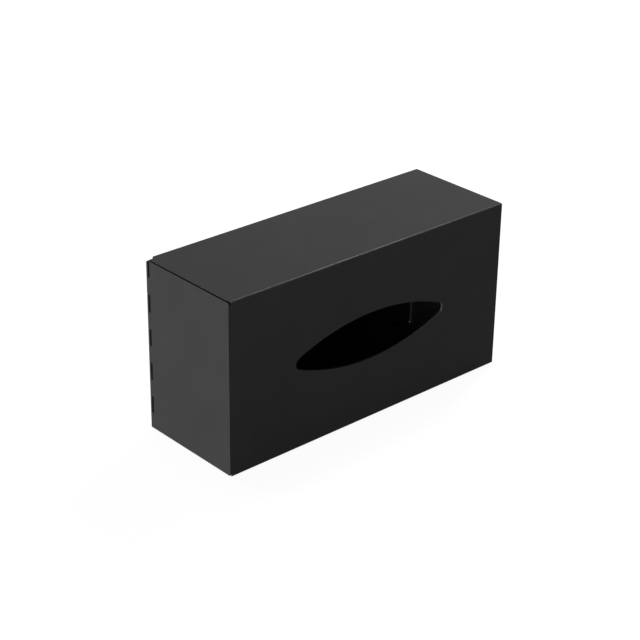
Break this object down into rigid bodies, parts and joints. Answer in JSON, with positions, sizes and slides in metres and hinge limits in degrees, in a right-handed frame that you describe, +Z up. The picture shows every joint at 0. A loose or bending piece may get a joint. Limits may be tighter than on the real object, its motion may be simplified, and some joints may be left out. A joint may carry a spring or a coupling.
{
  "type": "tissue box with slide-out drawer",
  "caption": "Folded sheet-steel tissue box with a lens-shaped opening; its end plate and back plate form a drawer that slides out on guide rails for refilling.",
  "frame": {"origin": "middle of the footprint, on the plane that the pads stand on", "axes": "+X along the box towards its closed right end, +Y from the front with the opening to the back, +Z up"},
  "size_m": [0.254, 0.088, 0.1308],
  "materials": {
    "cover_coat": "satin black powder coat",
    "drawer_coat": "satin black powder coat",
    "slide_coat": "satin black powder coat, rubbed where it slides",
    "cup_steel": "nickel-plated",
    "magnet": "matt ferrite",
    "pad_rubber": "matt"
  },
  "bodies": {
    "cover": {"cover_shell": "cover_coat", "cover_end": "cover_coat", "upper_rail": "slide_coat", "lower_rail": "slide_coat", "upper_stop": "slide_coat", "lower_stop": "slide_coat", "catch_cup": "cup_steel", "catch_magnet": "magnet", "foot_pads": "pad_rubber"},
    "drawer": {"drawer_base": "drawer_coat", "drawer_front": "drawer_coat", "upper_runner": "slide_coat", "lower_runner": "slide_coat", "catch_strike": "slide_coat"}
  },
  "joints": [
    {"name": "drawer_slide", "type": "slide", "parent": "cover", "child": "drawer", "axis": [-1, 0, 0], "range_m": [0, 0.17]}
  ]
}
